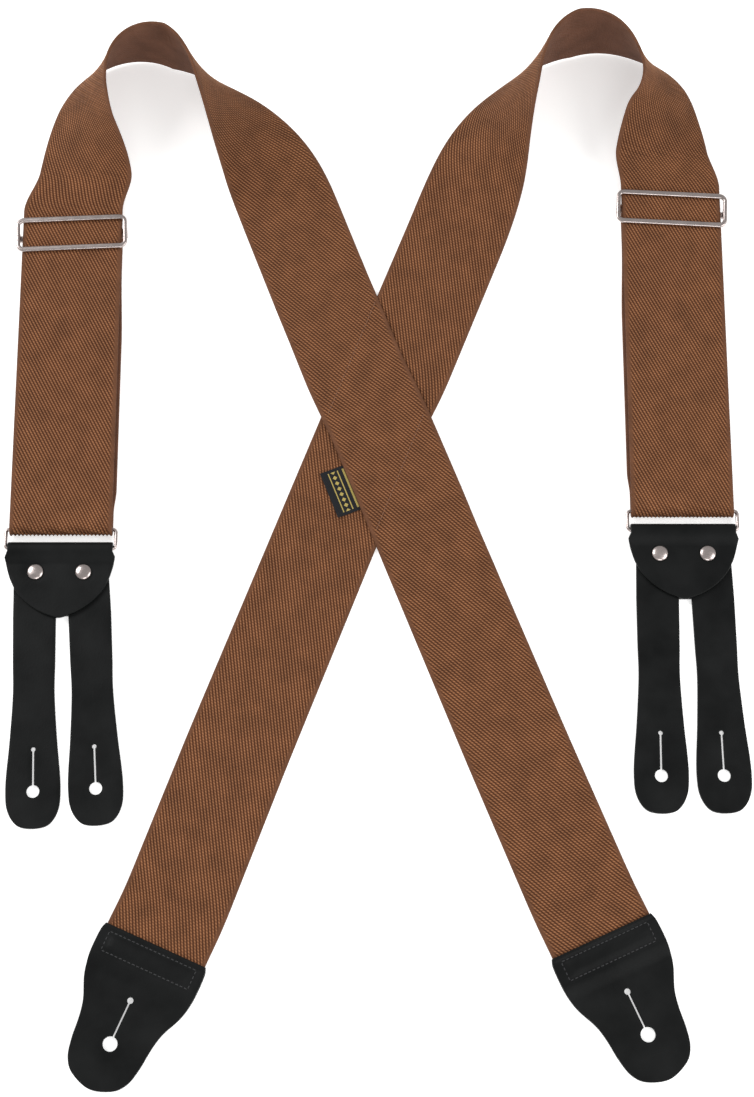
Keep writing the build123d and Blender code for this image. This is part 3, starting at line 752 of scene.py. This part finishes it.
def drop_outline(side, t_bar):
    """Flat pattern of the drop leather: the flap's round end at t 0, the fold, and two tabs."""
    tab_rings, holes = [], []
    for sign in (-1, 1):
        scale = side["tab_scale"]
        right = [(w, -d * scale) for w, d in TAB_HALVES] + [(0.0, -TAB_H * scale)]
        ring = curve_through(right + [(-w, -d * scale) for w, d in reversed(TAB_HALVES)])
        hole_r, hole_d, relief_r, relief_d = TAB_HOLE
        hole = keyhole(hole_r, hole_d * scale, relief_r, relief_d * scale)
        for target, ring in ((tab_rings, ring), (holes, hole)):
            flat = np.column_stack([np.array(ring), np.zeros(len(ring))])
            flat = turned(turned(flat, sign * TAB_SPREAD, (sign * TAB_SPACING / 2, 0)), side["lean"], (0, 0))
            target.append([(x, t_bar - FOLD_R - y) for x, y, _ in flat])
    neck_t = FLAP_H - FOLD_R - FLAP_NECK + 0.3
    ends = [(-w, FLAP_H - d) for w, d in reversed(FLAP_HALVES[-2:])]
    rim = curve_through(ends[:1] + [(0.0, 0.0)] + [(w, FLAP_H - d) for w, d in reversed(FLAP_HALVES)])[8:]
    right = rim + [(FLAP_TOP_HALF + 0.25, neck_t - 0.5), (FLAP_TOP_HALF, neck_t), (FLAP_TOP_HALF, t_bar),
                   (PANEL_HALF, t_bar + 1.2)]
    left = [(-x, t) for x, t in reversed(right[1:])]
    return [right + tab_rings[1] + tab_rings[0] + left] + holes


def drop_fold():
    """The leather's middle line from the flap's end over the ring and down: (y from the bar, height, t)."""
    top = FOLD_R
    r = FOLD_R - LEATHER_T / 2
    path = [(y, 1.5 * LEATHER_T + (FOLD_R + r - 1.5 * LEATHER_T) * float(ease((y + 8.5) / 7.6)))
            for y in np.arange(top - FLAP_H, 0, 0.4)]
    path += arc((0, FOLD_R), r, 90, -90, 0.2)
    t_bar = sum(math.dist(a, b) for a, b in zip(path[:-1], path[1:]))
    path += [(-y, LEATHER_T / 2) for y in np.arange(0.4, TAB_H + 2, 0.4)]
    return np.array(path), t_bar


def drop_leather(side):
    """Flap, fold, panel and tabs in one strip of leather."""
    path, t_bar = drop_fold()
    bm = cut_out(drop_outline(side, t_bar), LEATHER_T, 0.45)
    fold_t = FLAP_H - FOLD_R
    sliced(bm, 1, np.concatenate([np.arange(2, fold_t - 10, 2.4), np.arange(fold_t - 10, t_bar + 1, 0.6),
                                  np.arange(t_bar + 2, t_bar + TAB_H - FOLD_R, 2.6)]))
    sliced(bm, 0, np.arange(-29, 30, 2.4))
    bar_y = side["fold_y"] - FOLD_GAP - FOLD_R
    steps = np.concatenate([[0], np.cumsum(np.hypot(*np.diff(path, axis=0).T))])
    along = np.gradient(path, axis=0)
    along /= np.linalg.norm(along, axis=1)[:, None]
    rivets = [(sign * RIVET_SPACING / 2, FLAP_H - RIVET_DROP) for sign in (-1, 1)]

    def bend(flat):
        x, t, w = flat.T
        y, z = (np.interp(t, steps, path[:, i]) for i in range(2))
        ay, az = (np.interp(t, steps, along[:, i]) for i in range(2))
        size = np.hypot(ay, az)
        ay, az = ay / size, az / size
        off = w - LEATHER_T / 2
        y, z = y - az * off, z + ay * off
        wave = 0.09 * np.sin(x / 7.3 + t / 11.0) + 0.07 * np.sin(x / 4.1 - t / 17.0 + 1.3)
        flap = ease((fold_t - 3 - t) / 8)
        for rx, rt in rivets:
            near = np.hypot(x - rx, t - rt)
            z = z - 0.22 * flap * ease((6.5 - near) / 3.5)
        z = z + wave * np.maximum(flap, ease((t - t_bar - 30) / 20)) * (z > 1.6)
        return np.column_stack([x + side["strap_x"], y + bar_y, z])

    mapped(bm, bend)
    name = side["name"]
    return piece(name + "_drop_leather_cut", bm, side, name + "_drop_body", LEATHER,
                 (name + "_drop_leather",))


def back_rings():
    """Outline of a back end and its keyhole."""
    right = [(w, -d) for w, d in BACK_HALVES] + [(0.0, BACK_TOP - BACK_H)]
    ring = curve_through(right + [(-w, -d) for w, d in reversed(BACK_HALVES)])
    return [ring, keyhole(*BACK_HOLE)]


def back_height(x, y):
    """Underside of the face leather: over the webbing's end, pinched at the seams, then on the backing."""
    high = BACK_T + STRAP_T
    z = BACK_T + STRAP_T * ease((y - 7.0) / 8.0)
    inner = ease((STITCH_HALF + 1.5 - np.abs(x)) / 2.5)
    for row in STITCH_ROWS:
        z = z - 0.30 * bump_at(y, row, 2.0) * inner
    z = z - 0.25 * bump_at(np.abs(x), STITCH_HALF, 1.6) * ease((27.5 - y) / 1.5) * ease((y - 15.0) / 1.5)
    puff = ease((y - 17.1) / 3.2) * ease((25.5 - y) / 3.2) * ease((STITCH_HALF - np.abs(x)) / 4)
    z = z + 0.55 * puff
    z = z + 0.25 * bump_at(y, 28.0, 1.6)
    return np.minimum(z, high + 0.6)


def back_end(side):
    """Face and backing leather of a back end, with its stitching."""
    name = "right" if side is LEFT else "left"
    place = (side["back_turn"], side["back"])
    face = cut_out(back_rings(), BACK_T, 0.32)
    sliced(face, 1, np.concatenate([np.arange(-41, 6, 2.4), np.arange(6, 28.8, 0.6)]))
    sliced(face, 0, np.arange(-26, 27, 2.0))

    def raise_face(flat):
        x, y, w = flat.T
        wave = 0.06 * np.sin(x / 6.1 + y / 8.0) + 0.05 * np.sin(x / 3.7 - y / 9.0)
        low_part = ease((12 - y) / 10)
        z = back_height(x, y) + w + wave * (w > BACK_T / 2) * low_part
        return turned(np.column_stack([x, y, z]), *place)

    mapped(face, raise_face)
    piece(name + "_back_face_cut", face, side, "root", LEATHER, (name + "_back_face",))
    backing = cut_out(back_rings(), BACK_T, 0.32)
    sliced(backing, 1, np.arange(-41, 28.5, 2.6))
    sliced(backing, 0, np.arange(-26, 27, 2.6))
    mapped(backing, lambda flat: turned(flat, *place))
    piece(name + "_back_backing_cut", backing, side, "root", LEATHER, (name + "_back_backing",))
    high_row, low_row = STITCH_ROWS
    box = [[(-STITCH_HALF, high_row), (STITCH_HALF, high_row)],
           [(-STITCH_HALF, low_row), (STITCH_HALF, low_row)],
           [(-STITCH_HALF, low_row), (-STITCH_HALF, high_row)],
           [(STITCH_HALF, low_row), (STITCH_HALF, high_row)]]
    rows = []
    for a, b in box:
        flat = np.linspace(a, b, 60)
        z = back_height(flat[:, 0], flat[:, 1]) + BACK_T + 0.05
        rows.append(turned(np.column_stack([flat, z]), *place))
    stitches(name + "_back_stitches", rows, 2.2, 1.7, side, "root", BLACK_THREAD,
             (name + "_back_stitching",))


def stitches(name, rows, pitch, length, side, body, finish, nodes):
    """Rows of real stitches: short threads that rise out of one hole and sink into the next."""
    bm = bmesh.new()
    around = 8
    for row in rows:
        row = np.array(row)
        steps = np.concatenate([[0], np.cumsum(np.linalg.norm(np.diff(row, axis=0), axis=1))])
        count = max(1, int(round(steps[-1] / pitch)))
        for k in range(count):
            middle = (k + 0.5) * steps[-1] / count
            rings = []
            for q in np.linspace(-1, 1, 9):
                s = middle + q * length / 2
                spot = np.array([np.interp(s, steps, row[:, i]) for i in range(3)])
                ahead = np.array([np.interp(s + 0.05, steps, row[:, i])
                                  - np.interp(s - 0.05, steps, row[:, i]) for i in range(3)])
                ahead = Vector(ahead).normalized()
                aside = ahead.cross(Vector((0, 0, 1))).normalized()
                radius = THREAD_R * math.sqrt(max(0.05, 1 - abs(q) ** 5))
                spot = Vector(spot) + Vector((0, 0, 0.12 - 0.42 * q * q))
                angles = [2 * math.pi * i / around for i in range(around)]
                rings.append([bm.verts.new(spot + radius * (aside * math.cos(a) + Vector((0, 0, math.sin(a)))))
                              for a in angles])
            for ring, after in zip(rings[:-1], rings[1:]):
                for i in range(around):
                    bm.faces.new((ring[i], ring[(i + 1) % around], after[(i + 1) % around], after[i]))
            bm.faces.new(rings[0])
            bm.faces.new(rings[-1])
    return piece(name, bm, side, body, finish, nodes)


def hem_stitches(side):
    """Two rows across the hem, on the side that faces the front layer."""
    bar_y, x = side["adjuster"][1], side["strap_x"]
    z = 2 * STRAP_T + 0.02
    rows = [[(x - HEM_ROW_HALF, bar_y - HEM_TAIL + d, z), (x + HEM_ROW_HALF, bar_y - HEM_TAIL + d, z)]
            for d in HEM_ROWS]
    name = side["name"]
    stitches(name + "_hem_stitches", rows, 2.6, 2.0, side, name + "_adjuster_body", BROWN_THREAD,
             (name + "_hem_stitching",))


def rounded_box(width, height, radius, steps=8):
    """Outline of a rectangle with round corners."""
    ring = []
    for cx, cy, a in ((1, 1, 0), (-1, 1, 90), (-1, -1, 180), (1, -1, 270)):
        for b in np.linspace(a, a + 90, steps):
            ring.append((cx * (width / 2 - radius) + radius * math.cos(math.radians(b)),
                         cy * (height / 2 - radius) + radius * math.sin(math.radians(b))))
    return ring


def adjuster(side):
    """Slide buckle: a rounded frame, two ears and the low bar that the hem is sewn round."""
    bm = cut_out([rounded_box(ADJUSTER_L, ADJUSTER_H, ADJUSTER_CORNER, 14),
                  rounded_box(ADJUSTER_L - 2 * ADJUSTER_SIDE, ADJUSTER_H - 2 * ADJUSTER_RAIL,
                              WINDOW_CORNER)],
                 ADJUSTER_T, 0.78, 5)
    for vert in bm.verts:
        vert.co.z += FRAME_Z
    bar_half = (ADJUSTER_L - ADJUSTER_SIDE) / 2
    others = []
    bar = cut_out([rounded_box(2 * bar_half + 1.6, BAR_W, 1.2)], BAR_T, 0.6, 4)
    for vert in bar.verts:
        vert.co.z += BAR_Z
    others.append(bar)
    for sign in (-1, 1):
        ear = cut_out([rounded_box(1.7, BAR_W, 0.6, 5)], FRAME_Z + 0.9 - BAR_Z, 0.3, 3)
        for vert in ear.verts:
            vert.co.x += sign * bar_half
            vert.co.z += BAR_Z
        others.append(ear)
    for other in others:
        mesh = bpy.data.meshes.new("metal")
        other.to_mesh(mesh)
        other.free()
        bm.from_mesh(mesh)
        bpy.data.meshes.remove(mesh)
    mapped(bm, lambda flat: turned(flat, side["adjuster_turn"], side["adjuster"]))
    name = side["name"]
    piece(name + "_adjuster_slide_buckle", bm, side, name + "_adjuster_body", NICKEL,
          (name + "_adjuster",))


def rivet_caps(side):
    """Two domed caps with a thin rim."""
    name, top = side["name"], side["fold_y"] - FOLD_GAP
    profile = [(3.0, 0.0), (3.9, 0.05), (3.95, 0.3), (3.85, 0.55), (3.6, 0.78), (3.1, 1.03), (2.4, 1.25),
               (1.6, 1.4), (0.8, 1.48), (0.25, 1.5)]
    bm = bmesh.new()
    count = 48
    for sign in (-1, 1):
        cx, cy = side["strap_x"] + sign * RIVET_SPACING / 2, top - RIVET_DROP
        turns = [2 * math.pi * i / count for i in range(count)]
        rings = [[bm.verts.new((cx + r * math.cos(a), cy + r * math.sin(a), 2 * LEATHER_T - 0.1 + z))
                  for a in turns] for r, z in profile]
        for ring, after in zip(rings[:-1], rings[1:]):
            for i in range(count):
                bm.faces.new((ring[i], ring[(i + 1) % count], after[(i + 1) % count], after[i]))
        bm.faces.new(rings[0])
        bm.faces.new(rings[-1])
    piece(name + "_rivet_domes", bm, side, name + "_drop_body", NICKEL, (name + "_rivet_caps",))


# ---- the cross ----

def cross_lines():
    """Where the straps cross: a point, and the directions of the upper and the lower strap."""
    (ax, ay), (bx, by) = (Vector(p) for p in LEFT["back_line"][1:])
    (cx, cy), (dx, dy) = (Vector((-p[0], p[1])) for p in RIGHT["back_line"][1:])
    return Vector((ax, ay)), Vector((bx - ax, by - ay)).normalized(), Vector((dx - cx, dy - cy)).normalized()


def cross_stitches():
    """Two rows through both straps, inside the edges of the lower one."""
    centre, upper, lower = cross_lines()
    sine = abs(upper.cross(lower))
    half = (STRAP_W / 2 - CROSS_ROW_INSET) / sine
    rows = []
    for sign in (-1, 1):
        middle = centre + upper * (sign * half)
        rows.append([(*(middle + lower * q), CROSS_LIFT + STRAP_T + 0.02) for q in (-half, half)])
    stitches("cross_stitches", rows, 2.6, 2.1, LEFT, "root", BROWN_THREAD, ("cross_stitching",))


def woven_label():
    """Small label, one long edge under the upper strap, its free edge a little raised."""
    centre, upper, _ = cross_lines()
    turn = math.degrees(math.atan2(upper.y, upper.x)) + 90
    outward = Vector((upper.y, -upper.x))
    spot = centre + outward * (STRAP_W / 2 + LABEL_W / 2 - LABEL_TUCK) + upper * LABEL_PLACE
    bm = cut_out([rounded_box(LABEL_W, LABEL_L, 0.5, 5)], LABEL_T, 0.17, 2)
    sliced(bm, 0, np.arange(-7.5, 7.6, 0.75))
    sliced(bm, 1, np.arange(-11.5, 11.6, 1.15))
    bm.verts.ensure_lookup_table()
    flat = np.array([v.co for v in bm.verts], float)
    layer = bm.verts.layers.float_vector.new("cloth")
    for vert, place in zip(bm.verts, flat):
        vert[layer] = (place[0], place[1], 1.0)
    across = Vector((math.cos(math.radians(turn)), math.sin(math.radians(turn))))
    free_side = 1.0 if outward.dot(across) > 0 else -1.0
    free = ease((free_side * flat[:, 0] - 2.0) / 6.0)
    flat[:, 2] += STRAP_T + 0.02 + 0.55 * free + 0.12 * np.sin(flat[:, 1] / 4.0) * free
    places = turned(flat, turn, (spot.x, spot.y))
    for vert, place in zip(bm.verts, places):
        vert.co = place
    piece("woven_label_cloth", bm, LEFT, "root", LABEL, ("woven_label",))


# ---- assembly ----

for side in (LEFT, RIGHT):
    strap_pieces(side)
    drop_leather(side)
    back_end(side)
    hem_stitches(side)
    adjuster(side)
    rivet_caps(side)
cross_stitches()
woven_label()

for name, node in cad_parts.items():
    if not node.hide_render:
        node.data.materials.clear()
        node.data.materials.append(NICKEL)


# ---- floor, light and camera ----

FLOOR_GLOW = 0.5
WORLD_LIGHT = 0.5
CAMERA_LENS = 73.5
CAMERA_TILT = 16.08
CAMERA_BACK = 0.3047
CAMERA_UP = 1.057


def floor():
    """Plain pale floor."""
    mesh = bpy.data.meshes.new("floor")
    mesh.from_pydata([(-4, -4, 0), (4, -4, 0), (4, 4, 0), (-4, 4, 0)], [], [(0, 1, 2, 3)])
    obj = bpy.data.objects.new("floor", mesh)
    bpy.context.scene.collection.objects.link(obj)
    obj.location.z = -0.0004
    paint = bpy.data.materials.new("pale_floor")
    paint.use_nodes = True
    shader = paint.node_tree.nodes["Principled BSDF"]
    shader.inputs["Base Color"].default_value = (0.92, 0.92, 0.91, 1)
    shader.inputs["Roughness"].default_value = 0.9
    shader.inputs["Emission Color"].default_value = (1, 1, 1, 1)
    shader.inputs["Emission Strength"].default_value = FLOOR_GLOW
    mesh.materials.append(paint)


def lamp(name, spot, target, size, power):
    """Square soft light that faces a target."""
    light = bpy.data.lights.new(name, "AREA")
    light.size = size
    light.energy = power
    obj = bpy.data.objects.new(name, light)
    bpy.context.scene.collection.objects.link(obj)
    obj.location = spot
    obj.rotation_euler = (Vector(target) - Vector(spot)).to_track_quat("-Z", "Y").to_euler()


floor()
lamp("key_light", (-1.5, 0.9, 1.5), (0, 0, 0), 1.1, 34)
lamp("fill_light", (1.6, -0.5, 1.4), (0, 0, 0), 1.3, 22)
lamp("far_light", (0.2, -1.7, 1.3), (0, 0, 0), 1.0, 12)

world = bpy.data.worlds.new("studio")
bpy.context.scene.world = world
world.use_nodes = True
world.node_tree.nodes["Background"].inputs["Color"].default_value = (1, 1, 1, 1)
world.node_tree.nodes["Background"].inputs["Strength"].default_value = WORLD_LIGHT

camera = bpy.data.cameras.new("camera")
camera.sensor_fit = "VERTICAL"
camera.sensor_height = 36.0
camera.lens = CAMERA_LENS
holder = bpy.data.objects.new("camera", camera)
bpy.context.scene.collection.objects.link(holder)
holder.location = (ORIGIN.x / 1000, -CAMERA_BACK + ORIGIN.y / 1000, CAMERA_UP + ORIGIN.z / 1000)
holder.rotation_euler = (math.radians(CAMERA_TILT), 0, 0)
bpy.context.scene.camera = holder
bpy.context.scene.view_settings.view_transform = "Standard"
